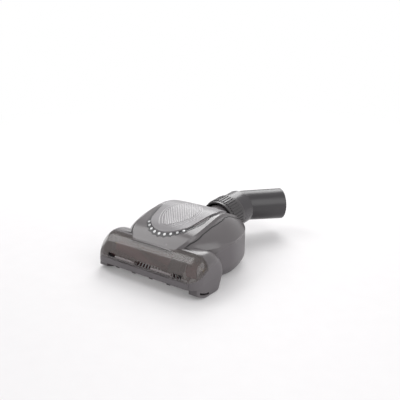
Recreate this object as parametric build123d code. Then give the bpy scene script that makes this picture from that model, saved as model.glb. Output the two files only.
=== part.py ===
from build123d import *
from functools import cache
from math import atan2, cos, hypot, radians, sin, sqrt, tan
import os

# Hand-held turbo brush for a vacuum cleaner, in millimetres. The sole rests on z = 0, the front is -Y,
# the tube goes back along +Y, and the origin lies on the floor under the turbine's axis.

# Hood: the rounded pillow across the front that holds the roller
hood_width = 132.0
hood_radius = 26.0
hood_axis_z = 14.0
hood_end_round = 12.5
hood_flare = 1.8
skirt_rear_in = 6.0
skirt_end_round = 17.0
sole_round = 2.0
wall = 2.0

# Lip along the front, over the gap that the dirt goes in by
lip_height = 10.5
lip_proud = 1.3
lip_round = 1.5
lip_end_in = 8.5
foot_width = 12.0
foot_front_y = -61.0
toe_y = -44.0
toe_radius = 38.0
slit_rise = 2.4
slit_width = 1.9
slit_depth = 5.0
slit_length = 12.0

# Parting between base and cover as (y, z): low at the front of the hood, then level round the body
part_points = ((-66.0, 17.0), (-44.0, 27.0), (-28.0, 30.5), (-14.0, 33.0), (0.0, 35.5), (20.0, 37.0))

# Roller and its drive
roller_y = -40.0
roller_z = 18.8
roller_core_radius = 8.5
tuft_radius = 1.5
tuft_foot_share = 0.7
tuft_sides = 6
tuft_rows = 4
tuft_pitch = 6.5
tuft_side_gap = 0.6
row_twist = 130.0
sole_clearance = 0.4
roller_wall_gap = 0.5
axle_radius = 2.0
axle_overhang = 1.5
bush_radius = 5.5
bush_width = 5.0
bush_depth = 9.5
bush_end_gap = 1.0
bracket_arm = 3.0
belt_width = 6.0
belt_thickness = 1.4
roller_pulley_radius = 10.5
turbine_pulley_radius = 6.5
pulley_flange = 1.2
flange_width = 1.0
pulley_wall_gap = 1.0
pulley_side_gap = 0.5
belt_gap = 0.3
guard_gap = 0.6
guard_wall = 1.2
guard_side_gap = 1.2
guard_roof_rear_y = -33.0

# Turbine
turbine_z = 30.5
turbine_radius = 19.5
turbine_half_width = 27.0
turbine_hub_radius = 5.5
blade_count = 12
blade_thickness = 1.2
blade_offset = 1.6
turbine_gap = 1.5
turbine_end_gap = 1.0
disc_thickness = 1.6
disc_inset = 4.0
side_plate = 2.5
turbine_bush_radius = 4.5
inlet_bottom_z = 11.5
inlet_top_z = 30.5
outlet_drop = 6.0

# Body behind the hood, a little narrower than the hood
body_step = 6.0
body_rear_y = 62.5
body_squareness = 2.5
body_front_angle = 12.0
body_bottom_round = 14.0
partition_y = -20.5

# Stations of the body's upper form: y, crest's distance in from the side, its height, foot's distance in
upper_stations = (
    (-52.0, 34.0, 37.9, 32.5),
    (-37.0, 25.0, 46.5, 16.5),
    (-22.0, 22.5, 51.5, 6.0),
    (-6.0, 22.0, 55.5, 0.0),
    (17.0, 23.0, 58.7, -0.5),
    (33.0, 24.0, 54.5, 4.5),
    (46.0, 25.0, 48.7, 11.5),
    (56.0, 31.0, 44.5, 22.0),
    (61.5, 40.0, 41.0, 33.0),
)
crest_drop = 2.4
crest_flare = 2.0
deck_crown = 0.8
side_bulge = 0.14
skirt_depth = 16.0

# Window over the front of the roller, with air slots and a bead along its lower edge
window_rear_y = -46.0
slot_bottom_z = 17.9
slot_top_z = 22.7
slot_centre_half = 9.8
slot_outer_width = 10.5
slot_end_in = 17.5
bead_radius = 1.1
bead_z = 20.5

# Grip pad and the trim round it
pad_centre_y = -10.5
pad_radius = 27.0
pad_arc_end = 23.0
pad_side_in = 27.0
pad_side_y = 14.0
pad_height = 1.6
pad_rear_y = 44.0
pad_rear_half = 28.0
pad_rear_bow = 6.0
trim_width = 4.0
trim_depth = 1.2
trim_gap = 0.15
trim_rise = 0.2
tail_front_y = -10.0
scallop_radius = 3.0
pip_count = 9
pip_radius = 1.4
pip_rise = 0.7
pip_spread = 104.0

# Neck, grip collar and elbow
neck_y = 61.5
neck_z = 32.1
neck_tilt = 5.0
neck_radius = 16.6
neck_bore = 14.6
neck_length = 22.0
neck_root = 14.0
collar_start = 1.0
collar_radius = 20.8
collar_bore = 19.3
collar_rib_height = 0.9
collar_rib_width = 1.7
collar_rib_count = 40
collar_rib_length = 17.0
collar_length = 25.0
relief_gap = 0.4
ring_place = 17.5
ring_width = 1.6
ring_depth = 0.9
ring_rise = 1.0
seal_place = 8.5
seal_width = 3.0
elbow_start = 12.5
elbow_bend = 36.0
elbow_swivel = 101.5
elbow_bend_radius = 24.0
elbow_straight = 15.0
band_radius = 20.0
band_reach = 3.0
band_socket = 10.0
tube_length = 43.0
tube_bore = 16.0
tube_wall = 1.7
tube_end_wall = 2.3
spigot_gap = 0.3

# Fixings and clearances
boss_radius = 4.2
screw_radius = 1.5
screw_bite = 9.0
screw_head_radius = 3.2
screw_head_height = 2.4
screw_recess = 5.0
screw_insets = ((15.0, 22.0), (14.0, -10.0))
stud_count = 4
stud_pitch = 22.3
stud_radius = 1.6
stud_height = 1.8
fit_gap = 0.05
seat_gap = 0.1
skin_gap = 0.03
far = 300.0

hood_half = hood_width / 2
hood_front_y = roller_y - hood_radius
deck_front_y = upper_stations[0][0]
body_half_width = hood_half - body_step
part_body_z = part_points[-1][1]
bush_centre_x = hood_half - bush_depth
lip_half_width = hood_half - foot_width
mouth_half_width = bush_centre_x - bush_width / 2
mouth_rear_y = partition_y - wall
tuft_sweep = sqrt((roller_z - sole_clearance) ** 2 + tuft_radius ** 2)
roller_wall_radius = tuft_sweep + roller_wall_gap
belt_half = belt_width / 2
pulley_half = belt_half + pulley_side_gap
pulley_outer = pulley_half + flange_width
belt_x = turbine_half_width + turbine_end_gap + side_plate + pulley_wall_gap + pulley_outer
screw_places = [(side * (body_half_width - inset), y) for inset, y in screw_insets for side in (-1, 1)]
stud_places = [stud_pitch * (i - (stud_count - 1) / 2) for i in range(stud_count)]
stud_y = hood_front_y - lip_proud + wall
pad_half = body_half_width - pad_side_in
neck_axis = Vector(0, cos(radians(neck_tilt)), sin(radians(neck_tilt)))
neck_up = Vector(0, -sin(radians(neck_tilt)), cos(radians(neck_tilt)))


def box(x0, x1, y0, y1, z0, z1):
    """A block between two corners."""
    return Pos((x0 + x1) / 2, (y0 + y1) / 2, (z0 + z1) / 2) * Box(x1 - x0, y1 - y0, z1 - z0)


def bar_x(radius, x0, x1, y, z):
    """A cylinder along X."""
    return Pos((x0 + x1) / 2, y, z) * Rot(0, 90, 0) * Cylinder(radius, x1 - x0)


def post(radius, x, y, z0, z1):
    """An upright cylinder."""
    return Pos(x, y, (z0 + z1) / 2) * Cylinder(radius, z1 - z0)


def column(plan):
    """An outline seen from above, drawn up from the parting's level through the whole deck."""
    return Pos(0, 0, part_body_z) * extrude(plan, far, dir=(0, 0, 1))


def profile_x(points, x0, x1):
    """A closed outline of (y, z) points, extruded from x0 to x1."""
    face = make_face(Polyline(*[(0, y, z) for y, z in points], close=True))
    return Pos(x0, 0, 0) * extrude(face, x1 - x0, dir=(1, 0, 0))


def along_neck(solid, distance):
    """Places a solid made along +Z on the neck's axis, so far out from the body's rear."""
    origin = Vector(0, neck_y, neck_z) + neck_axis * distance
    return Plane(origin=origin, x_dir=(1, 0, 0), z_dir=neck_axis) * solid


def neck_bar(radius, start, end):
    """A cylinder on the neck's axis."""
    return along_neck(Pos(0, 0, (end - start) / 2) * Cylinder(radius, end - start), start)


# Outer forms

def hood_outline(inset):
    """Half of the hood's long section: an edge along the axis, and the rounded ends above it."""
    radius = hood_radius - inset
    end = hood_width / 2 - inset
    turn = hood_end_round - inset
    edges = [
        Line((-end, 0), (end, 0)),
        Line((end, 0), (end, radius - turn)),
        RadiusArc((end, radius - turn), (end - turn, radius), -turn),
        Line((end - turn, radius), (-end + turn, radius)),
        RadiusArc((-end + turn, radius), (-end, radius - turn), -turn),
        Line((-end, radius - turn), (-end, 0)),
    ]
    return make_face(edges)


def hood_plan(grow):
    """The hood's plan on its axis, grown all round."""
    return RectangleRounded(hood_width + 2 * grow, 2 * (hood_radius + grow), hood_end_round + grow)


def sole_plan(inset):
    """The skirt's plan on the floor: wider than the hood, drawn in at the rear, with rounder ends."""
    front = hood_radius + hood_flare - inset
    rear = hood_radius - skirt_rear_in - inset
    width = hood_width + 2 * (hood_flare - inset)
    return Pos(0, (rear - front) / 2) * RectangleRounded(width, front + rear, skirt_end_round - inset)


@cache
def hood(inset=0.0):
    """The hood's form: half turned above its axis, and a skirt that flares down to the floor below it."""
    turned = revolve(hood_outline(inset), Axis.X, 180)
    depth = hood_axis_z - inset
    skirt = loft([hood_plan(-inset), Pos(0, 0, -depth) * sole_plan(inset)])
    rim = skirt.edges().filter_by(lambda edge: abs(edge.bounding_box().max.Z + depth) < 0.01)
    return Pos(0, roller_y, hood_axis_z) * (turned + fillet(rim, sole_round / (1 + inset)))


@cache
def body_plan(inset, front):
    """The body's outline seen from above: sides that widen to the rear, and a squared round rear."""
    half = body_half_width - inset
    rear = body_rear_y - inset
    side = []
    for turn in (0, 15, 33, 52, 70, 90):
        x = half * max(cos(radians(turn)), 0.0) ** (2 / body_squareness)
        y = rear * sin(radians(turn)) ** (2 / body_squareness)
        side.append((x, y))
    lean = tan(radians(body_front_angle))
    narrow = half + front * lean
    edges = [
        Spline(*side, tangents=((lean, 1), (-1, 0))),
        Spline(*[(-x, y) for x, y in side], tangents=((-lean, 1), (1, 0))),
        Polyline((half, 0), (narrow, front), (-narrow, front), (-half, 0)),
    ]
    return make_face(edges)


@cache
def bowl(inset=0.0):
    """The lower body: its plan drawn up from the floor, with a rounded bottom edge."""
    solid = extrude(body_plan(inset, roller_y), part_body_z + skirt_depth - inset, dir=(0, 0, 1))
    rim = solid.edges().filter_by(lambda edge: abs(edge.bounding_box().max.Z) < 0.01)
    rim = rim.filter_by(lambda edge: edge.bounding_box().max.Y > roller_y + 1)
    return Pos(0, 0, inset) * fillet(rim, body_bottom_round - inset)


def upper_section(y, crest, height, base):
    """One cross-section of the upper body: upright feet, bulged sides, a crest band and a crowned deck."""
    foot_z = part_body_z - skirt_depth
    knee_z = min(part_body_z, height - 2 * crest_drop)
    low = (crest + crest_flare * min(1.0, (base - crest) / 4), height - crest_drop)
    bulge = side_bulge * (base - low[0]) / 2
    middle = ((base + low[0]) / 2 + bulge, (knee_z + low[1]) / 2 + bulge)
    plane = Plane(origin=(0, y, 0), x_dir=(1, 0, 0), z_dir=(0, -1, 0))
    edges = [
        Line((-base, foot_z), (base, foot_z)),
        Line((base, foot_z), (base, knee_z)),
        ThreePointArc((base, knee_z), middle, low),
        Line(low, (crest, height)),
        ThreePointArc((crest, height), (0, height + deck_crown), (-crest, height)),
        Line((-crest, height), (-low[0], low[1])),
        ThreePointArc((-low[0], low[1]), (-middle[0], middle[1]), (-base, knee_z)),
        Line((-base, knee_z), (-base, foot_z)),
    ]
    return plane * make_face(edges)


@cache
def upper(inset=0.0):
    """The upper body, lofted through its stations; a negative inset gives a form that stands proud."""
    sections = []
    for y, crest_in, height, foot_in in upper_stations:
        crest = body_half_width - crest_in - inset * 0.6
        foot = body_half_width - foot_in - inset
        sections.append(upper_section(y, crest, height - inset, foot))
    return loft(sections)


@cache
def below_parting(drop=0.0):
    """Everything under the parting surface, or under a surface that much lower."""
    line = [(-far, part_points[0][1]), *part_points, (far, part_body_z)]
    points = [(y, z - drop) for y, z in line]
    return profile_x(points + [(far, -far), (-far, -far)], -far, far)


def body_form(inset, front):
    """The body's form: the upper form within the plan, and the bowl below the parting."""
    plan = extrude(body_plan(inset, front), far, dir=(0, 0, 1))
    return (upper(inset) & plan) + (bowl(inset) & below_parting())


@cache
def outer_form():
    """The closed outer form of hood and body."""
    return hood() + body_form(0.0, hood_front_y)


def roller_bar(grow=0.0):
    """The space that the tufts sweep with their gap, as a bar along the roller."""
    return bar_x(roller_wall_radius + grow, -far, far, roller_y, roller_z)


@cache
def partition():
    """The wall between roller and turbine, round behind the tufts, with the air inlet and the belt's way."""
    slab = box(-far, far, mouth_rear_y, partition_y, wall / 2, far)
    slab = slab + (roller_bar(wall) & box(-far, far, mouth_rear_y, far, 0, far))
    slab = (slab - roller_bar()) & outer_form()
    inlet = box(-turbine_half_width, turbine_half_width, -far, 0, inlet_bottom_z, inlet_top_z)
    reach = roller_pulley_radius + belt_gap + belt_thickness
    side = pulley_outer + guard_side_gap
    belt_way = box(belt_x - side, belt_x + side, -far, 0, roller_z - reach + 3, roller_z + reach + 5)
    return slab - inlet - belt_way


@cache
def shell():
    """Both halves in one: the walls of hood and body and the partition, open for the neck and the collar."""
    solid = outer_form() - hood(wall) - body_form(wall, deck_front_y + wall)
    relief = neck_bar(collar_radius + collar_rib_height + relief_gap, collar_start - relief_gap, neck_length)
    return solid + partition() - relief - neck_bar(neck_radius + fit_gap, -neck_root - seat_gap, neck_length)


# Base

def end_bracket(side):
    """The upright wall at one end of the roller, with a slot for the bearing bush."""
    inner = side * bush_centre_x - bush_width / 2
    outer = side * bush_centre_x + bush_width / 2
    half = bush_radius + bracket_arm
    web = box(inner, outer, roller_y - half, roller_y + half, wall / 2, roller_z + bush_radius)
    slot_half = bush_radius + fit_gap
    slot = box(inner - 1, outer + 1, roller_y - slot_half, roller_y + slot_half, roller_z, far)
    return web - slot - bar_x(slot_half, inner - 1, outer + 1, roller_y, roller_z)


def lip_ledge():
    """The ledge that stands proud along the hood's front, over the dirt gap."""
    plan = Pos(0, roller_y) * hood_plan(lip_proud)
    ledge = Pos(0, 0, lip_height) * extrude(plan, part_points[0][1] - lip_height, dir=(0, 0, 1))
    rim = ledge.edges().filter_by(lambda edge: abs(edge.bounding_box().max.Z - lip_height) < 0.01)
    end = hood_half - lip_end_in
    return fillet(rim, lip_round) & box(-end, end, -far, roller_y - hood_radius / 2, 0, far)


def end_foot(side):
    """The solid foot at one end of the sole, in front of the bearing."""
    x0, x1 = sorted((side * mouth_half_width, side * far))
    return box(x0, x1, foot_front_y, roller_y - bush_radius, 0, lip_height) & hood()


def below_toe():
    """What the toe's curve takes off the front of both feet."""
    rise = toe_radius - sqrt(toe_radius ** 2 - (toe_y - foot_front_y) ** 2)
    corner = box(-far, far, foot_front_y - 1, toe_y, -1, rise)
    return corner - bar_x(toe_radius, -far, far, toe_y, toe_radius)


def end_slit(side):
    """The slit in the outer side of one foot, parallel to the toe's curve, where air comes in."""
    x0, x1 = sorted((side * (hood_half - slit_depth), side * far))
    outer = toe_radius - slit_rise
    band = bar_x(outer, x0, x1, toe_y, toe_radius) - bar_x(outer - slit_width, x0, x1, toe_y, toe_radius)
    return band & box(-far, far, toe_y - slit_rise - slit_length, toe_y - slit_rise, 0, toe_radius)


def base_shell():
    """The lower half: hood skirt with the suction mouth, bowl of the body, bosses and bearing seats."""
    base = (shell() & below_parting()) + (lip_ledge() - hood(wall))
    for x, y in screw_places:
        base = base + (post(boss_radius, x, y, wall / 2, far) & below_parting(seat_gap))
    for side in (-1, 1):
        base = base + end_bracket(side)
    mouth = box(-mouth_half_width, mouth_half_width, hood_front_y + wall, mouth_rear_y, -1, wall + 1)
    gap_rear_y = roller_y - bush_radius - bracket_arm
    dirt_gap = box(-lip_half_width, lip_half_width, -far, gap_rear_y, -1, lip_height)
    foot_space = box(-far, far, -far, foot_front_y, -1, lip_height)
    base = base - mouth - dirt_gap - foot_space
    for side in (-1, 1):
        base = base + end_foot(side) - end_slit(side)
    base = base - below_toe()
    for x, y in screw_places:
        base = base - post(screw_head_radius + seat_gap, x, y, -1, screw_recess)
        base = base - post(screw_radius + seat_gap, x, y, -1, far)
    for x in stud_places:
        base = base - post(stud_radius + fit_gap, x, stud_y, 0, lip_height + stud_height / 2)
    return base


# Cover and window

@cache
def window_zone():
    """The space that the window fills: in front of its rear edge, above the parting, outside the deck."""
    return box(-far, far, -far, window_rear_y, -far, far) - below_parting() - upper()


def front_window():
    """The clear front of the hood, with three air slots and a bead along its lower edge."""
    pane = shell() & window_zone()
    y = roller_y - sqrt(hood_radius ** 2 - (bead_z - hood_axis_z) ** 2) + bead_radius / 4
    outer = hood_half - slot_end_in
    inner = outer - slot_outer_width
    for x0, x1 in ((-inner, -slot_centre_half), (slot_centre_half, inner)):
        pane = pane + bar_x(bead_radius, x0 + 1, x1 - 1, y, bead_z)
    for x0, x1 in ((-outer, -inner), (-slot_centre_half, slot_centre_half), (inner, outer)):
        pane = pane - box(x0, x1, -far, roller_y - hood_radius / 2, slot_bottom_z, slot_top_z)
    return pane


def bush_hold_down(side):
    """The rib under the roof that holds one roller bush down in its bracket."""
    x = side * bush_centre_x
    half = bush_radius / 2
    foot_z = roller_z + bush_radius + seat_gap
    rib = box(x - half / 2, x + half / 2, roller_y - half, roller_y + half, foot_z, far)
    return rib & hood(wall / 2)


def top_cover():
    """The upper half: deck, crests, side panels and the rear of the hood's ends."""
    cover = shell() - below_parting() - window_zone()
    cover = cover - (column(trim_plan(0.0)) - upper(trim_depth))
    for x, y in screw_places:
        cover = cover + ((post(boss_radius, x, y, 0, far) - below_parting(-seat_gap)) & outer_form())
    for x, y in screw_places:
        cover = cover - post(screw_radius + fit_gap, x, y, 0, part_body_z + screw_bite + 1)
    return cover + bush_hold_down(-1) + bush_hold_down(1)


# Pad and trim

def pad_plan(grow=0.0):
    """The pad's outline from above: a round front, sides that widen to the rear and a bowed rear."""
    radius = pad_radius + grow
    turn = radians(pad_arc_end)
    front = (radius * cos(turn), pad_centre_y - radius * sin(turn))
    side = (pad_half + grow, pad_side_y)
    rear = (pad_rear_half + grow, pad_rear_y - pad_rear_bow + grow)
    left = [(-x, y) for x, y in (front, side, rear)]
    edges = [
        ThreePointArc(left[0], (0, pad_centre_y - radius), front),
        Polyline(front, side, rear),
        ThreePointArc(rear, (0, pad_rear_y + grow), left[2]),
        Polyline(*left[::-1]),
    ]
    return make_face(edges)


def pip_places():
    """Where the studs stand: evenly along the middle of the trim's arc."""
    radius = pad_radius + trim_width / 2
    for i in range(pip_count):
        turn = radians(-90 - pip_spread / 2 + pip_spread * i / (pip_count - 1))
        yield radius * cos(turn), pad_centre_y + radius * sin(turn)


def circles(radius):
    """A circle round every stud."""
    return Sketch() + [Pos(x, y) * Circle(radius) for x, y in pip_places()]


def trim_plan(shrink):
    """The dark trim's outline: a scalloped arc round the pad's front, and a tapering tail each side."""
    radius = pad_radius + trim_width - shrink
    turn = radians(pad_arc_end)
    front = (radius * cos(turn), pad_centre_y - radius * sin(turn))
    bend = (pad_half - shrink, tail_front_y)
    tip = (pad_half - shrink, pad_side_y)
    edges = [
        ThreePointArc((-front[0], front[1]), (0, pad_centre_y - radius), front),
        Polyline(front, bend, tip, (-tip[0], tip[1]), (-bend[0], bend[1]), (-front[0], front[1])),
    ]
    return make_face(edges) + circles(scallop_radius - shrink) - pad_plan(shrink)


def grip_pad():
    """The raised pad on the deck."""
    return (column(pad_plan()) & upper(-pad_height)) - upper(-skin_gap)


def deck_trim():
    """The dark trim strip sunk in the deck round the pad."""
    strip = (column(trim_plan(trim_gap)) & upper(-trim_rise)) - upper(trim_depth - skin_gap)
    return strip - column(circles(pip_radius + trim_gap))


def trim_pips():
    """The round studs that stand in the trim."""
    return (column(circles(pip_radius)) & upper(-pip_rise)) - upper(trim_depth - skin_gap)


# Roller

def tuft_places():
    """Place along the roller and turn of every tuft: rows wind round the core, left and right of the belt."""
    ends = bush_centre_x - bush_width / 2 - bush_end_gap - tuft_radius - tuft_side_gap
    belt_side = pulley_outer + guard_side_gap + guard_wall + tuft_radius + tuft_side_gap
    places = []
    for x0, x1 in ((-ends, belt_x - belt_side), (belt_x + belt_side, ends)):
        count = int((x1 - x0) / tuft_pitch) + 1
        for row in range(tuft_rows):
            for i in range(count):
                x = x0 + i * tuft_pitch
                places.append((x, 360 * row / tuft_rows + row_twist * (x + ends) / (2 * ends)))
    return places


def roller_core():
    """The moulded core of the roller, bored for its axle."""
    end = bush_centre_x - bush_width / 2 - bush_end_gap
    core = bar_x(roller_core_radius, -end, end, roller_y, roller_z)
    return core - bar_x(axle_radius, -far, far, roller_y, roller_z)


def roller_bristles():
    """Tufts of bristle, each spreading towards its tip."""
    reach = roller_z - sole_clearance - roller_core_radius - skin_gap
    foot = RegularPolygon(tuft_radius * tuft_foot_share, tuft_sides)
    tuft = loft([foot, Pos(0, 0, reach) * RegularPolygon(tuft_radius, tuft_sides)])
    tufts = []
    for x, turn in tuft_places():
        root = Pos(0, 0, roller_core_radius + skin_gap)
        tufts.append(Pos(x, roller_y, roller_z) * Rot(turn, 0, 0) * root * tuft)
    return Compound(children=tufts)


def pulley(radius, bore, y, z):
    """A flanged belt pulley on a shaft along X."""
    solid = bar_x(radius, belt_x - pulley_half, belt_x + pulley_half, y, z)
    for edge in (-pulley_outer, pulley_half):
        solid = solid + bar_x(radius + pulley_flange, belt_x + edge, belt_x + edge + flange_width, y, z)
    return solid - bar_x(bore, -far, far, y, z)


def bush(x, y, z, radius, width):
    """A plain bearing bush."""
    ring = bar_x(radius, x - width / 2, x + width / 2, y, z)
    return ring - bar_x(axle_radius + fit_gap, -far, far, y, z)


def belt_loop(grow):
    """The belt's path as a solid outline, grown outwards from both pulleys."""
    big = roller_pulley_radius + grow
    small = turbine_pulley_radius + grow
    dy, dz = -roller_y, turbine_z - roller_z
    lean = atan2(dz, dy)
    along = (big - small) / hypot(dy, dz)
    runs = []
    for side in (1, -1):
        across = side * sqrt(1 - along * along)
        ny = along * cos(lean) - across * sin(lean)
        nz = along * sin(lean) + across * cos(lean)
        runs.append([(roller_y + big * ny, roller_z + big * nz), (small * ny, turbine_z + small * nz)])
    band = profile_x(runs[0] + runs[1][::-1], belt_x - belt_half, belt_x + belt_half)
    band = band + bar_x(big, belt_x - belt_half, belt_x + belt_half, roller_y, roller_z)
    return band + bar_x(small, belt_x - belt_half, belt_x + belt_half, 0, turbine_z)


def drive_belt():
    """The flat belt round both pulleys, clear of them all the way."""
    return belt_loop(belt_gap + belt_thickness) - belt_loop(belt_gap)


def belt_guard():
    """The arch that keeps hair and fluff off the belt inside the hood."""
    outer = hood_radius - wall - guard_gap
    side = pulley_outer + guard_side_gap
    inside = bar_x(outer - guard_wall, belt_x - side, belt_x + side, roller_y, hood_axis_z)
    way_back = box(belt_x - side, belt_x + side, guard_roof_rear_y, far, 0, far)
    side = side + guard_wall
    arch = bar_x(outer, belt_x - side, belt_x + side, roller_y, hood_axis_z) - inside - way_back
    arch = arch - bar_x(roller_pulley_radius + pulley_flange + guard_side_gap, -far, far, roller_y, roller_z)
    return arch & box(-far, far, -far, mouth_rear_y - seat_gap, roller_z + 2, far)


# Turbine

def turbine_wheel():
    """The paddle wheel: a hub, offset blades and a disc at each end."""
    wheel = bar_x(turbine_hub_radius, -turbine_half_width, turbine_half_width, 0, turbine_z)
    root = turbine_hub_radius - 1
    length = turbine_radius - root
    blade = Pos(0, blade_offset, root + length / 2) * Box(2 * turbine_half_width - 2, blade_thickness, length)
    for i in range(blade_count):
        wheel = wheel + Pos(0, 0, turbine_z) * Rot(360 * i / blade_count, 0, 0) * blade
    for x in (-turbine_half_width, turbine_half_width - disc_thickness):
        wheel = wheel + bar_x(turbine_radius - disc_inset, x, x + disc_thickness, 0, turbine_z)
    return wheel - bar_x(axle_radius, -far, far, 0, turbine_z)


def turbine_housing():
    """The chamber round the wheel: two side plates joined by a curved floor and a curved roof."""
    inner = turbine_radius + turbine_gap
    x_in = turbine_half_width + turbine_end_gap
    x_out = x_in + side_plate
    ring = bar_x(inner + wall, -x_out, x_out, 0, turbine_z) - bar_x(inner, -x_in, x_in, 0, turbine_z)
    ring = ring - box(-x_in, x_in, -far, 0, inlet_bottom_z, inlet_top_z)
    ring = ring - box(-x_in, x_in, 0, far, turbine_z - outlet_drop, far)
    for x in (-x_out, x_in):
        ring = ring + box(x, x + side_plate, -inner / 2, inner / 2, wall + skin_gap, turbine_z - inner / 2)
    ring = (ring & box(-far, far, partition_y + seat_gap, far, 0, far)) - roller_bar(wall + seat_gap)
    return ring - bar_x(turbine_bush_radius + fit_gap, -far, far, 0, turbine_z)


# Neck and elbow

def neck_tube():
    """The neck: a plain tube clamped between both halves, with a groove for the ring."""
    bore = neck_bar(neck_bore, -neck_root - 1, neck_length + 1)
    tube = neck_bar(neck_radius, -neck_root, neck_length) - bore
    groove = neck_bar(neck_radius + 1, ring_place, ring_place + ring_width)
    return tube - (groove - neck_bar(neck_radius - ring_depth, ring_place - 1, ring_place + ring_width + 1))


def swivel_ring():
    """The split ring in the neck's groove that keeps the elbow on."""
    ring = neck_bar(neck_radius + ring_rise, ring_place + fit_gap, ring_place + ring_width - fit_gap)
    ring = ring - neck_bar(neck_radius - ring_depth + fit_gap, ring_place - 1, ring_place + ring_width + 1)
    return ring - along_neck(Pos(0, -neck_radius, 0) * Box(3, 8, 8), ring_place)


def swivel_seal():
    """The felt ring in the collar that keeps air from leaking past the neck."""
    ring = neck_bar(collar_bore - fit_gap, seal_place, seal_place + seal_width)
    return ring - neck_bar(neck_radius + spigot_gap, seal_place - 1, seal_place + seal_width + 1)


bend_start = collar_start + collar_length + elbow_straight
side_dir = Vector(1, 0, 0) * sin(radians(elbow_swivel)) + neck_up * cos(radians(elbow_swivel))
tube_dir = neck_axis * cos(radians(elbow_bend)) + side_dir * sin(radians(elbow_bend))
bend_begin = Vector(0, neck_y, neck_z) + neck_axis * bend_start
bend_centre = bend_begin + side_dir * elbow_bend_radius
bend_out = neck_axis * sin(radians(elbow_bend)) - side_dir * cos(radians(elbow_bend))
bend_end = bend_centre + bend_out * elbow_bend_radius
band_end = bend_start + band_reach
socket_start = band_end - band_socket


def elbow_bar(radius, start, end_radius, over=0.0):
    """A solid along the elbow's centre line: straight, bent, then the tube."""
    first = neck_bar(radius, start, bend_start)
    disc = Plane(origin=bend_begin, x_dir=side_dir, z_dir=neck_axis) * Circle(radius)
    bent = revolve(disc, Axis(bend_centre, neck_axis.cross(side_dir)), elbow_bend)
    length = tube_length + over
    tip = Cylinder(radius, length) if end_radius == radius else Cone(radius, end_radius, length)
    last = Plane(origin=bend_end, x_dir=neck_axis.cross(side_dir), z_dir=tube_dir)
    return first + bent + last * Pos(0, 0, length / 2) * tip


def elbow_band():
    """The straight ring that turns on the neck inside the collar, with a socket for the bent tube."""
    collar_end = collar_start + collar_length
    band = neck_bar(collar_bore - fit_gap, elbow_start, collar_end + 1)
    band = band + neck_bar(band_radius, collar_end + seat_gap, band_end)
    band = band - neck_bar(tube_bore, elbow_start, socket_start + 1)
    band = band - elbow_bar(tube_bore + tube_wall + fit_gap, socket_start, tube_bore + tube_wall + fit_gap)
    band = band - neck_bar(neck_radius + spigot_gap, elbow_start - 1, neck_length + 1)
    return band - neck_bar(neck_radius + ring_rise + spigot_gap, ring_place - spigot_gap,
                           ring_place + ring_width + spigot_gap)


def elbow_tube():
    """The bent tube that the vacuum cleaner's wand plugs in."""
    tube = elbow_bar(tube_bore + tube_wall, socket_start + seat_gap, tube_bore + tube_end_wall)
    return tube - elbow_bar(tube_bore, socket_start, tube_bore, 2.0)


def grip_collar():
    """The ribbed collar round the neck."""
    end = collar_start + collar_length
    body = neck_bar(collar_radius, collar_start, end) - neck_bar(collar_bore, collar_start - 1, end + 1)
    rib = Box(collar_rib_width, 2 * collar_rib_height, collar_rib_length)
    ribs = []
    for i in range(collar_rib_count):
        turned = Rot(0, 0, 360 * i / collar_rib_count) * Pos(0, collar_radius, 0) * rib
        ribs.append(along_neck(turned, collar_start + 4 + collar_rib_length / 2))
    return body + ribs


# Fixings

def lip_studs():
    """Small dark glide studs under the front lip."""
    top = lip_height + stud_height / 2 - skin_gap
    return Compound(children=[post(stud_radius, x, stud_y, top - stud_height, top) for x in stud_places])


def housing_screws():
    """The screws that come up from the sole into the cover's posts."""
    head_top = screw_recess - skin_gap
    screws = []
    for x, y in screw_places:
        head = post(screw_head_radius, x, y, head_top - screw_head_height, head_top)
        screws.append(head + post(screw_radius, x, y, head_top, part_body_z + screw_bite))
    return Compound(children=screws)


def parts():
    """Every sub-part by name."""
    yield "base_shell", base_shell()
    yield "top_cover", top_cover()
    yield "front_window", front_window()
    yield "grip_pad", grip_pad()
    yield "deck_trim", deck_trim()
    yield "trim_pips", trim_pips()
    yield "belt_guard", belt_guard()
    yield "turbine_housing", turbine_housing()
    for name, side in (("left", -1), ("right", 1)):
        yield f"roller_bush_{name}", bush(side * bush_centre_x, roller_y, roller_z, bush_radius, bush_width)
        x = side * (turbine_half_width + turbine_end_gap + side_plate / 2)
        yield f"turbine_bush_{name}", bush(x, 0, turbine_z, turbine_bush_radius, side_plate)
    yield "drive_belt", drive_belt()
    yield "housing_screws", housing_screws()
    yield "lip_studs", lip_studs()
    yield "neck_tube", neck_tube()
    yield "swivel_ring", swivel_ring()
    yield "roller_core", roller_core()
    yield "roller_bristles", roller_bristles()
    axle_end = bush_centre_x + bush_width / 2 + axle_overhang
    yield "roller_axle", bar_x(axle_radius, -axle_end, axle_end, roller_y, roller_z)
    yield "roller_pulley", pulley(roller_pulley_radius, roller_core_radius, roller_y, roller_z)
    yield "turbine_wheel", turbine_wheel()
    shaft_left = turbine_half_width + turbine_end_gap + side_plate + axle_overhang
    shaft_right = belt_x + pulley_outer + axle_overhang
    yield "turbine_shaft", bar_x(axle_radius, -shaft_left, shaft_right, 0, turbine_z)
    yield "turbine_pulley", pulley(turbine_pulley_radius, axle_radius, 0, turbine_z)
    yield "grip_collar", grip_collar()
    yield "swivel_seal", swivel_seal()
    yield "elbow_band", elbow_band()
    yield "elbow_tube", elbow_tube()


os.makedirs("parts", exist_ok=True)
for name, solid in parts():
    export_step(solid, f"parts/{name}.step")
    print(name, "volume", round(solid.volume, 1))
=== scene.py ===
# %% [markdown]
# # Hand-held turbo brush for a vacuum cleaner
# The measured parts come in first and stay where they are. Everything after this gives them their real
# plastic, adds the fine pieces that are too small for the measured model, and lights the scene.

# %% Load the measured parts
from math import cos, pi, radians, sin, sqrt

import bmesh
import bpy
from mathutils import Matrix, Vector
from mathutils.bvhtree import BVHTree


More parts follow.
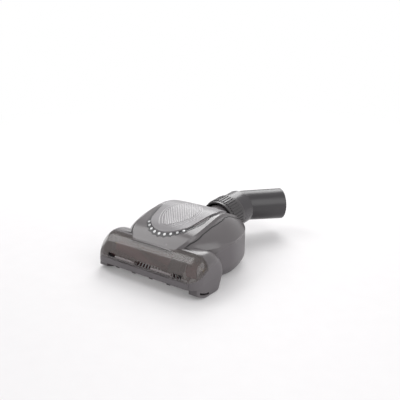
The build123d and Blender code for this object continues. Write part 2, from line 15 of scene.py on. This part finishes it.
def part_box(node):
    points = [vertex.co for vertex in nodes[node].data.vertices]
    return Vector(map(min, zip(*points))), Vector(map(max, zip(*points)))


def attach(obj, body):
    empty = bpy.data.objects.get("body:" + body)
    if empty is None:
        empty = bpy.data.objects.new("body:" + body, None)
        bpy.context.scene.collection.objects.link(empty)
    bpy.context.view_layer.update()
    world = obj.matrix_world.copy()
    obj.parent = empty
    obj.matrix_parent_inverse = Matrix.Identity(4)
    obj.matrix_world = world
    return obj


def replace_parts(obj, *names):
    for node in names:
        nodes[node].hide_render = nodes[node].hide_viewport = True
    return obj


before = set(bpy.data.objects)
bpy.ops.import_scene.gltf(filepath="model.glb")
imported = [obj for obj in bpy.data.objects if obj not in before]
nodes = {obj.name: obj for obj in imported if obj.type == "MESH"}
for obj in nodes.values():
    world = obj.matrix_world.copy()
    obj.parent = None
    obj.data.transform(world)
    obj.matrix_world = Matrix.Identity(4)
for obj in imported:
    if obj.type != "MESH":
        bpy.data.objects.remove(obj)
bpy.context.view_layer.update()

# %% [markdown]
# The camera stands where the photographer stood: in front, to the right and a little above, with the
# tube leading away to the right. A 54 mm lens gives the same mild perspective.

# %% Camera
scene = bpy.context.scene
camera_data = bpy.data.cameras.new("camera")
camera_data.lens = 54
camera_data.sensor_width = 36
camera = bpy.data.objects.new("camera", camera_data)
camera.location = (0.3704, -0.4633, 0.26188)
camera.rotation_euler = (radians(90 - 17.82), 0, radians(36.98))
scene.collection.objects.link(camera)
scene.camera = camera
scene.view_settings.view_transform = "Standard"
print("camera", tuple(round(c, 3) for c in camera.location))

# %% [markdown]
# A finish is written as sums: colour plus a little noise, roughness minus a little wear. One small class
# holds a socket of the material, and its operators add the Math nodes, so the formula stays readable.


# %% The socket class
class Flow:
    """One value on its way through a material."""

    def __init__(self, tree, socket):
        self.tree = tree
        self.socket = socket

    def node(self, kind, inputs, output=0, **settings):
        """Adds any node: its settings first, then the values or links of its sockets."""
        made = self.tree.nodes.new("ShaderNode" + kind)
        for name, value in settings.items():
            if name == "stops":
                for stop, (place, colour) in zip(made.color_ramp.elements, value):
                    stop.position = place
                    stop.color = colour
            else:
                setattr(made, name, value)
        for name, value in inputs.items():
            if isinstance(value, Flow):
                self.tree.links.new(value.socket, made.inputs[name])
            else:
                made.inputs[name].default_value = value
        return Flow(self.tree, made.outputs[output])

    def math(self, operation, a, b=0.0):
        return self.node("Math", {0: a, 1: b}, operation=operation)

    def __add__(self, other):
        return self.math("ADD", self, other)

    __radd__ = __add__

    def __sub__(self, other):
        return self.math("SUBTRACT", self, other)

    def __rsub__(self, other):
        return self.math("SUBTRACT", other, self)

    def __mul__(self, other):
        return self.math("MULTIPLY", self, other)

    __rmul__ = __mul__

    def between(self, low, high):
        """0 below low, 1 above high, and even in between."""
        return self.node("MapRange", {0: self, 1: low, 2: high, 3: 0.0, 4: 1.0})

    def tint(self, dark, light):
        """A colour between two, by this value."""
        return self.node("Mix", {0: self, 6: (*dark, 1), 7: (*light, 1)}, output=2, data_type="RGBA")


def finish(name, colour, rough, **values):
    """A new material with one shader; returns it, its shader and a first flow of object coordinates."""
    material = bpy.data.materials.new(name)
    material.use_nodes = True
    shader = material.node_tree.nodes["Principled BSDF"]
    shader.inputs["Base Color"].default_value = (*colour, 1)
    shader.inputs["Roughness"].default_value = rough
    for socket, value in values.items():
        shader.inputs[socket.replace("_", " ")].default_value = value
    coordinates = material.node_tree.nodes.new("ShaderNodeTexCoord")
    return material, shader, Flow(material.node_tree, coordinates.outputs["Object"])


def feed(shader, socket, flow):
    """Links a flow to one of the shader's sockets."""
    flow.tree.links.new(flow.socket, shader.inputs[socket])


print("finishes are written with", Flow.__name__)

# %% [markdown]
# Moulded plastic is never perfectly even. A fine grain comes from the mould's sparked surface, a slow
# drift of roughness comes from handling, and both are in the same scale on every part of one colour.


# %% Moulded plastic
def moulded(name, colour, rough, grain=0.00005, grain_scale=1500.0, drift=0.06, **values):
    """Plastic with a sparked grain, and a slow drift of colour and roughness."""
    material, shader, place = finish(name, colour, rough, **values)
    slow = place.node("TexNoise", {"Vector": place, "Scale": 28.0, "Detail": 3.0})
    fine = place.node("TexNoise", {"Vector": place, "Scale": grain_scale, "Detail": 2.0})
    feed(shader, "Roughness", slow.between(0.3, 0.7) * drift + (rough - drift / 2))
    dark = tuple(c * 0.94 for c in colour)
    light = tuple(min(1.0, c * 1.05) for c in colour)
    feed(shader, "Base Color", slow.between(0.25, 0.75).tint(dark, light))
    bump = place.node("Bump", {"Height": fine, "Strength": 0.5, "Distance": grain})
    feed(shader, "Normal", bump)
    return material


base_grey = moulded("base_grey", (0.118, 0.108, 0.114), 0.36, grain=0.00003)
cover_grey = moulded("cover_grey", (0.118, 0.108, 0.112), 0.25, grain=0.00001,
                     Coat_Weight=0.15, Coat_Roughness=0.2)
pad_grey = moulded("pad_grey", (0.215, 0.205, 0.214), 0.36, grain=0.00002)
rib_grey = moulded("rib_grey", (0.50, 0.485, 0.50), 0.42, grain=0.00002)
trim_dark = moulded("trim_dark", (0.042, 0.040, 0.043), 0.38, grain=0.00003)
# strip_grey is also the light grey of the painted highlight bars on the window's bead
strip_grey = moulded("strip_grey", (0.20, 0.175, 0.18), 0.36, grain=0.00002)
# painted shade: the near-black of the lines under the crests
shade_line_dark = moulded("shade_line_dark", (0.016, 0.015, 0.016), 0.6)
pip_bright = moulded("pip_bright", (0.58, 0.58, 0.59), 0.16, grain=0.00001, Coat_Weight=0.6)
guard_black = moulded("guard_black", (0.012, 0.012, 0.012), 0.5)
inner_grey = moulded("inner_grey", (0.10, 0.10, 0.10), 0.45)
collar_black = moulded("collar_black", (0.062, 0.058, 0.060), 0.30, grain=0.00003)
tube_grey = moulded("tube_grey", (0.040, 0.037, 0.040), 0.32, grain=0.00003)
band_grey = moulded("band_grey", (0.052, 0.048, 0.052), 0.24, grain=0.00002)
acetal = moulded("acetal", (0.66, 0.65, 0.62), 0.36)
wheel_white = moulded("wheel_white", (0.48, 0.48, 0.47), 0.4)
roller_red = moulded("roller_red", (0.20, 0.07, 0.075), 0.4)
print("plastics", len(bpy.data.materials))

# %% [markdown]
# The window is clear smoke plastic: brown, polished, and thin enough that the roller shows as a red-brown
# shade behind it. Its colour is on the surface and its alpha lets the rest through.

# %% Smoke window
smoke, smoke_shader, smoke_place = finish("smoke", (0.165, 0.142, 0.136), 0.06, Coat_Weight=0.8, Alpha=0.38)
smoke_slow = smoke_place.node("TexNoise", {"Vector": smoke_place, "Scale": 40.0, "Detail": 2.0})
feed(smoke_shader, "Roughness", smoke_slow.between(0.3, 0.7) * 0.04 + 0.05)
print("window alpha", smoke_shader.inputs["Alpha"].default_value)

# %% [markdown]
# Rubber, felt and metal are the small parts. The steel is turned, so its scratches run round the axle:
# the noise is squeezed along X. Brass bushes are sintered and look dull.


# %% Rubber, felt and metal
def turned(name, colour, rough):
    """Turned metal: fine marks round an axis along X."""
    material, shader, place = finish(name, colour, rough, Metallic=1.0)
    squeezed = place.node("Mapping", {"Vector": place, "Scale": (4.0, 0.2, 0.2)})
    marks = place.node("TexNoise", {"Vector": squeezed, "Scale": 900.0, "Detail": 2.0})
    feed(shader, "Roughness", marks.between(0.3, 0.7) * 0.18 + (rough - 0.09))
    feed(shader, "Normal", place.node("Bump", {"Height": marks, "Strength": 0.2, "Distance": 0.00002}))
    return material


axle_steel = turned("axle_steel", (0.56, 0.56, 0.57), 0.3)
screw_zinc = turned("screw_zinc", (0.50, 0.50, 0.52), 0.36)
bush_brass = turned("bush_brass", (0.52, 0.38, 0.18), 0.5)
black_rubber = moulded("black_rubber", (0.014, 0.014, 0.014), 0.6, grain=0.00004)
belt_rubber = moulded("belt_rubber", (0.018, 0.018, 0.018), 0.55, grain=0.00008)
black_felt = moulded("black_felt", (0.03, 0.03, 0.03), 0.9, grain=0.0002, grain_scale=2500.0)
bristle_red = moulded("bristle_red", (0.105, 0.042, 0.045), 0.6, grain=0.00002)

finishes = {
    "base_shell": base_grey, "top_cover": cover_grey, "front_window": smoke, "grip_pad": pad_grey,
    "deck_trim": trim_dark, "trim_pips": pip_bright, "belt_guard": guard_black, "turbine_housing": inner_grey,
    "roller_bush_left": bush_brass, "roller_bush_right": bush_brass, "turbine_bush_left": bush_brass,
    "turbine_bush_right": bush_brass, "drive_belt": belt_rubber, "housing_screws": screw_zinc,
    "lip_studs": black_rubber, "swivel_ring": acetal, "roller_core": roller_red,
    "roller_bristles": bristle_red, "roller_axle": axle_steel, "roller_pulley": acetal,
    "turbine_wheel": wheel_white, "turbine_shaft": axle_steel, "turbine_pulley": acetal,
    "grip_collar": collar_black, "swivel_seal": black_felt, "elbow_tube": tube_grey,
    "elbow_band": band_grey, "neck_tube": cover_grey,
}
for name, material in finishes.items():
    data = nodes[name].data
    for i in range(max(1, len(data.materials))):
        if i < len(data.materials):
            data.materials[i] = material
        else:
            data.materials.append(material)
print("finishes given", len(finishes))

# %% [markdown]
# The fine pieces are laid on the measured surfaces. A ray down onto a part finds the height and the slope
# at a place, and a ribbon is a thin bar swept along such places: two low corners sunk in the surface and
# four higher ones, drawn in step by step so that its edges catch the light.


# %% Laying pieces on a surface
def surface(name):
    """A search tree of one measured part, in the shared frame."""
    part = nodes[name]
    corners = [part.matrix_world @ vertex.co for vertex in part.data.vertices]
    return BVHTree.FromPolygons(corners, [list(face.vertices) for face in part.data.polygons])


def drape(tree, x, y):
    """The highest point of a part over a place, and its normal."""
    place, normal, _, _ = tree.ray_cast(Vector((x, y, 0.2)), Vector((0, 0, -1)))
    return (place, normal) if place else None


def ribbon(mesh, path, half, height, sink=0.0002):
    """Sweeps a bar with drawn-in upper corners along points that each have a normal."""
    rings = []
    for i, (place, normal) in enumerate(path):
        before, after = path[max(i - 1, 0)][0], path[min(i + 1, len(path) - 1)][0]
        side = (after - before).cross(normal).normalized()
        rings.append([mesh.verts.new(place + side * across * half + normal * up) for across, up in
                      ((1, -sink), (0.9, height * 0.6), (0.5, height),
                       (-0.5, height), (-0.9, height * 0.6), (-1, -sink))])
    for a, b in zip(rings, rings[1:]):
        for i in range(len(a)):
            k = (i + 1) % len(a)
            mesh.faces.new((a[i], a[k], b[k], b[i]))
    mesh.faces.new(rings[0][::-1])
    mesh.faces.new(rings[-1])


def piece(name, mesh, material, body, smooth=True):
    """Turns a mesh into an object that rides on a body."""
    bmesh.ops.recalc_face_normals(mesh, faces=mesh.faces)
    data = bpy.data.meshes.new(name)
    mesh.to_mesh(data)
    mesh.free()
    data.materials.append(material)
    if smooth:
        data.shade_smooth()
    made = bpy.data.objects.new(name, data)
    scene.collection.objects.link(made)
    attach(made, body)
    print(name, "faces", len(data.polygons))
    return made


# %% [markdown]
# The thumb rests on a field of fine ribs. The field has the outline of a leaf, pointed at the front and
# widest behind, and each rib is a straight line that is cut where it leaves the leaf.

# %% Ribs of the grip pad
pad = surface("grip_pad")
leaf_front, leaf_rear, leaf_half = -0.0295, 0.0215, 0.0175
rib_pitch, rib_half, rib_height = 0.00185, 0.00052, 0.00042
rib_step = 0.0012
rib_turn = radians(36.98)
ribs_each_side, steps_each_way = 20, 40


def leaf_width(share):
    """Half the leaf's width, at a share of the way from its front to its rear."""
    return leaf_half * sin(pi * share ** 1.15) ** 0.7


def in_leaf(x, y):
    """True inside the leaf that holds the ribs."""
    share = (y - leaf_front) / (leaf_rear - leaf_front)
    return 0 < share < 1 and abs(x) < leaf_width(share)


ribs = bmesh.new()
along = Vector((-sin(rib_turn), cos(rib_turn)))
across = Vector((cos(rib_turn), sin(rib_turn)))
for i in range(-ribs_each_side, ribs_each_side + 1):
    run = []
    for k in range(-steps_each_way, steps_each_way + 1):
        spot = across * (i * rib_pitch) + along * (k * rib_step)
        hit = drape(pad, spot.x, spot.y) if in_leaf(spot.x, spot.y) else None
        if hit:
            run.append(hit)
    if len(run) > 2:
        ribbon(ribs, run, rib_half, rib_height)
piece("pad_ribs", ribs, rib_grey, "head")

# %% [markdown]
# Round the leaf runs a thin raised line, as the edge of an inset would, and a second one outside it.

# %% Edge lines of the leaf
edges = bmesh.new()
edge_half, edge_height, edge_steps = 0.00035, 0.00022, 38
for grow in (0.0014, 0.0038):
    for side in (-1, 1):
        line = []
        for k in range(2, edge_steps - 1):
            share = k / edge_steps
            y = leaf_front + share * (leaf_rear - leaf_front) - grow * (1 - share)
            x = side * (leaf_width(share) + grow)
            hit = drape(pad, x, y)
            if hit:
                line.append(hit)
        ribbon(edges, line, edge_half, edge_height)
piece("pad_edges", edges, rib_grey, "head")

# %% [markdown]
# Behind the last stud the dark trim narrows to a tail. A lighter strip lies along its middle.

# %% Strips in the tails
trim = surface("deck_trim")
tails = bmesh.new()
tail_x, tail_y, tail_out, tail_length = 0.0268, -0.0170, 0.0045, 0.0200
tail_half, tail_height, tail_steps = 0.00075, 0.00035, 16
for side in (-1, 1):
    strip = []
    for k in range(tail_steps + 1):
        share = k / tail_steps
        hit = drape(trim, side * (tail_x + tail_out * share), tail_y + tail_length * share)
        if hit:
            strip.append(hit)
    ribbon(tails, strip, tail_half, tail_height)
piece("tail_strips", tails, strip_grey, "head")

# %% [markdown]
# Under each crest of the cover lies a narrow dark line. It is painted shade: a near-black bar laid on the
# cover where a thin line of shade lies under the crest. Its points are (y, z) at the foot of the crest's
# band, and a level ray from outside finds the cover's side there.

# %% Painted shade lines under the crests
cover = surface("top_cover")
shade_lines = bmesh.new()
crest_line = ((-0.0505, 0.0357), (-0.037, 0.0441), (-0.022, 0.0491), (-0.006, 0.0531),
              (0.005, 0.0550), (0.017, 0.0563), (0.026, 0.0548), (0.033, 0.0521),
              (0.046, 0.0463), (0.054, 0.0430))
shade_line_half, shade_line_height, shade_line_sink = 0.0007, 0.0003, 0.0005
shade_line_drop, shade_line_steps, outside_x = 0.0006, 5, 0.12
for side in (-1, 1):
    shade_line = []
    for (y0, z0), (y1, z1) in zip(crest_line, crest_line[1:]):
        for k in range(shade_line_steps):
            share = k / shade_line_steps
            start = Vector((side * outside_x, y0 + (y1 - y0) * share, z0 + (z1 - z0) * share - shade_line_drop))
            place, normal, _, _ = cover.ray_cast(start, Vector((-side, 0, 0)))
            if place:
                shade_line.append((place, normal))
    ribbon(shade_lines, shade_line, shade_line_half, shade_line_height, sink=shade_line_sink)
# near-black painted shade along the foot of each crest
piece("crest_shade_lines", shade_lines, shade_line_dark, "head")

# %% [markdown]
# The brush's real tufts are bundles of fibres. The measured tufts are single pegs, so bundles take their
# place: each fibre is a thin three-sided bar, fanned out a little more at its tip than at its root.

# %% Bristles
core_low, core_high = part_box("roller_core")
tip_low, tip_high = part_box("roller_bristles")
guard_low, guard_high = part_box("belt_guard")
roller_y = (core_low[1] + core_high[1]) / 2
roller_z = (core_low[2] + core_high[2]) / 2
core_radius = (core_high[2] - core_low[2]) / 2
tip_radius = (tip_high[2] - tip_low[2]) / 2
tuft_pitch, fibre_half, fibres = 0.0033, 0.00022, 12
rows, twist = 4, radians(130)
end_margin, guard_margin, radius_cut = 0.0015, 0.0018, 0.0004
root_spread, tip_spread_along, tip_spread_round = 0.0008, 0.0013, 0.0016
spiral_turn = 2.4
bristles = bmesh.new()
first, last = tip_low[0] + end_margin, tip_high[0] - end_margin


def fibre(mesh, x, turn, root, tip):
    """One fibre of a tuft: root and tip are (along the roller, round it) shifts in metres."""
    rings = []
    for (shift_x, shift_t), radius in ((root, core_radius - radius_cut), (tip, tip_radius - radius_cut)):
        angle = turn + shift_t / radius
        outward = Vector((0, cos(angle), sin(angle)))
        round_it = Vector((0, -sin(angle), cos(angle)))
        centre = Vector((x + shift_x, roller_y, roller_z)) + outward * radius
        corners = [centre + Vector((fibre_half * cos(a), 0, 0)) + round_it * fibre_half * sin(a)
                   for a in (0, 2 * pi / 3, 4 * pi / 3)]
        rings.append([mesh.verts.new(corner) for corner in corners])
    for i in range(3):
        mesh.faces.new((rings[0][i], rings[0][(i + 1) % 3], rings[1][(i + 1) % 3], rings[1][i]))
    mesh.faces.new(rings[1])
    mesh.faces.new(rings[0][::-1])


count = int((last - first) / tuft_pitch)
for row in range(rows):
    for i in range(count + 1):
        x = first + i * tuft_pitch
        if guard_low[0] - guard_margin < x < guard_high[0] + guard_margin:
            continue
        turn = 2 * pi * row / rows + twist * (x - first) / (last - first)
        for k in range(fibres):
            angle, reach = spiral_turn * k, sqrt((k + 0.5) / fibres)
            aside, ahead = cos(angle) * reach, sin(angle) * reach
            root = (aside * root_spread, ahead * root_spread)
            tip = (aside * tip_spread_along, ahead * tip_spread_round)
            fibre(bristles, x, turn, root, tip)
tufts = piece("bristle_tufts", bristles, bristle_red, "roller", smooth=False)
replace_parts(tufts, "roller_bristles")

# %% [markdown]
# A light bar along the lower edge of the window, between the air slots, is painted highlight: it stands for
# the light that the bead's clear edge catches there. It is a plain bar laid over the bead there.

# %% Painted highlight bars between the slots
window_low, window_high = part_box("front_window")
bead_highlights = bmesh.new()
highlight_inner, highlight_outer, highlight_y, highlight_z = 0.0110, 0.0365, -0.06556, 0.0205
highlight_half, highlight_height, highlight_sink, highlight_steps = 0.00085, 0.00125, 0.0004, 8
highlight_normal = Vector((0, -1, 0.25)).normalized()
for x0, x1 in ((-highlight_outer, -highlight_inner), (highlight_inner, highlight_outer)):
    bar = []
    for k in range(highlight_steps + 1):
        bar.append((Vector((x0 + (x1 - x0) * k / highlight_steps, highlight_y, highlight_z)), highlight_normal))
    ribbon(bead_highlights, bar, highlight_half, highlight_height, sink=highlight_sink)
# painted highlight: a light grey bar where the bead's edge catches the light
piece("window_bead_highlights", bead_highlights, strip_grey, "head")

# %% [markdown]
# Under the lip sit four rubber pads. They are oblong, a little wider than the round studs that the measured
# model has there, and their edges are rounded.

# %% Pads under the lip
stud_low, stud_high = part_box("lip_studs")
stud_count, pad_half_x, pad_half_y, pad_round = 4, 0.0023, 0.0014, 0.0005
stud_y = (stud_low[1] + stud_high[1]) / 2
stud_width = stud_high[1] - stud_low[1]
stud_pitch = (stud_high[0] - stud_low[0] - stud_width) / (stud_count - 1)
pads = bmesh.new()
for i in range(stud_count):
    stud_x = stud_low[0] + stud_width / 2 + i * stud_pitch
    block = bmesh.ops.create_cube(pads, size=1.0)["verts"]
    size = Vector((2 * pad_half_x, 2 * pad_half_y, stud_high[2] - stud_low[2]))
    bmesh.ops.scale(pads, vec=size, verts=block)
    bmesh.ops.translate(pads, vec=(stud_x, stud_y, (stud_low[2] + stud_high[2]) / 2), verts=block)
bmesh.ops.bevel(pads, geom=pads.edges[:], offset=pad_round, segments=3, profile=0.5, affect="EDGES")
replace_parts(piece("lip_pads", pads, black_rubber, "head"), "lip_studs")

# %% [markdown]
# The stage is a pale table. A little way out it fades to pure white, so there is no horizon, and only the
# soft shadow near the brush is left of it. The lamps are large and soft, at a plain level.

# %% Stage and light
floor_size = 6.0
floor_grey, floor_shade, floor_tint = (0.75, 0.735, 0.745), (0.74, 0.725, 0.735), (0.76, 0.745, 0.755)
ambient_low, ambient_seen = 0.70, 0.30
floor_mesh = bmesh.new()
bmesh.ops.create_grid(floor_mesh, x_segments=8, y_segments=8, size=floor_size)
floor_data = bpy.data.meshes.new("floor")
floor_mesh.to_mesh(floor_data)
floor_mesh.free()
floor = bpy.data.objects.new("floor", floor_data)
scene.collection.objects.link(floor)
floor_paint, floor_shader, floor_place = finish("floor_paint", floor_grey, 0.6)
floor_grain = floor_place.node("TexNoise", {"Vector": floor_place, "Scale": 60.0, "Detail": 3.0})
feed(floor_shader, "Base Color", floor_grain.between(0.2, 0.8).tint(floor_shade, floor_tint))
floor_data.materials.append(floor_paint)
floor_tree = floor_paint.node_tree
camera_rays = Flow(floor_tree, floor_tree.nodes.new("ShaderNodeLightPath").outputs["Is Camera Ray"])
distance = floor_place.node("VectorMath", {0: floor_place}, output=1, operation="LENGTH")
white = floor_place.node("Emission", {"Color": (1, 1, 1, 1), "Strength": 1.0})
share = distance.between(0.22, 0.60) * 0.30 + distance.between(0.5, 1.0) * 0.55 + 0.15
floor_look = Flow(floor_tree, floor_shader.outputs[0]).node(
    "MixShader", {0: camera_rays * share, 1: Flow(floor_tree, floor_shader.outputs[0]), 2: white})
floor_tree.links.new(floor_look.socket, floor_tree.nodes["Material Output"].inputs["Surface"])

world = bpy.data.worlds.new("studio")
world.use_nodes = True
scene.world = world
tree = world.node_tree
rays = tree.nodes.new("ShaderNodeLightPath")
ambient = tree.nodes["Background"]
ambient.inputs["Color"].default_value = (1, 1, 1, 1)
seen = Flow(tree, rays.outputs["Is Camera Ray"]).math(
    "MAXIMUM", Flow(tree, rays.outputs["Is Camera Ray"]), Flow(tree, rays.outputs["Is Transmission Ray"]))
tree.links.new((seen * ambient_seen + ambient_low).socket, ambient.inputs["Strength"])


def lamp(name, place, aim, size, power):
    """A square soft lamp that points at a place on the object."""
    data = bpy.data.lights.new(name, "AREA")
    data.size = size
    data.energy = power
    made = bpy.data.objects.new(name, data)
    made.location = place
    made.rotation_euler = (Vector(aim) - Vector(place)).to_track_quat("-Z", "Y").to_euler()
    scene.collection.objects.link(made)


lamp("key", (-0.9, -0.2, 1.1), (0, 0, 0.02), 0.7, 4.5)
lamp("back", (-0.5, 0.9, 0.9), (0, 0, 0.03), 0.8, 9.5)
lamp("fill", (1.1, -0.1, 0.7), (0, 0, 0.03), 0.9, 5.0)
